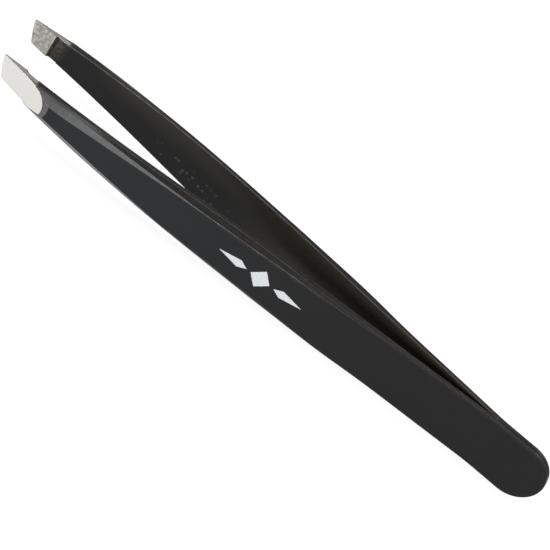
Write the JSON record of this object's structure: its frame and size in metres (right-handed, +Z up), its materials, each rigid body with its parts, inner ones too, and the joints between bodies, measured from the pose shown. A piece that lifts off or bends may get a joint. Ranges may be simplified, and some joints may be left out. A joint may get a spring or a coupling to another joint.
{
  "type": "slant tweezers",
  "caption": "Slant-tip cosmetic tweezers: two sprung steel arms welded at a rounded tail, black lacquered, with bare ground tips that close together.",
  "frame": {"origin": "on the surface the tweezers lie on, under the middle of their length and of the gap", "axes": "+X from the tips to the tail, +Y across the gap to the rear arm, +Z up, along the width of the arms"},
  "size_m": [0.095, 0.0134, 0.0093],
  "materials": {
    "steel": "satin ground stainless steel",
    "lacquer": "satin black lacquer",
    "weld": "fused steel, hidden",
    "ink": "matt white pad-printed ink"
  },
  "bodies": {
    "tail": {"front_arm_tail": "steel", "rear_arm_tail": "steel", "spot_welds": "weld", "tail_lacquer": "lacquer"},
    "front_arm": {"front_arm_blade": "steel", "front_blade_lacquer": "lacquer", "printed_mark": "ink"},
    "rear_arm": {"rear_arm_blade": "steel", "rear_blade_lacquer": "lacquer"}
  },
  "joints": [
    {"name": "front_arm_flex", "type": "hinge", "parent": "tail", "child": "front_arm", "pos_m": [0.0295, -0.00098, 0.00465], "axis": [0, 0, -1], "range_deg": [0, 3.5], "stiffness_Nm_per_rad": 2.5},
    {"name": "rear_arm_flex", "type": "hinge", "parent": "tail", "child": "rear_arm", "pos_m": [0.0295, 0.00098, 0.00465], "axis": [0, 0, 1], "range_deg": [0, 3.5], "stiffness_Nm_per_rad": 2.5}
  ],
  "couplings": [
    {"joint": "rear_arm_flex", "follows": "front_arm_flex", "ratio": 1}
  ]
}
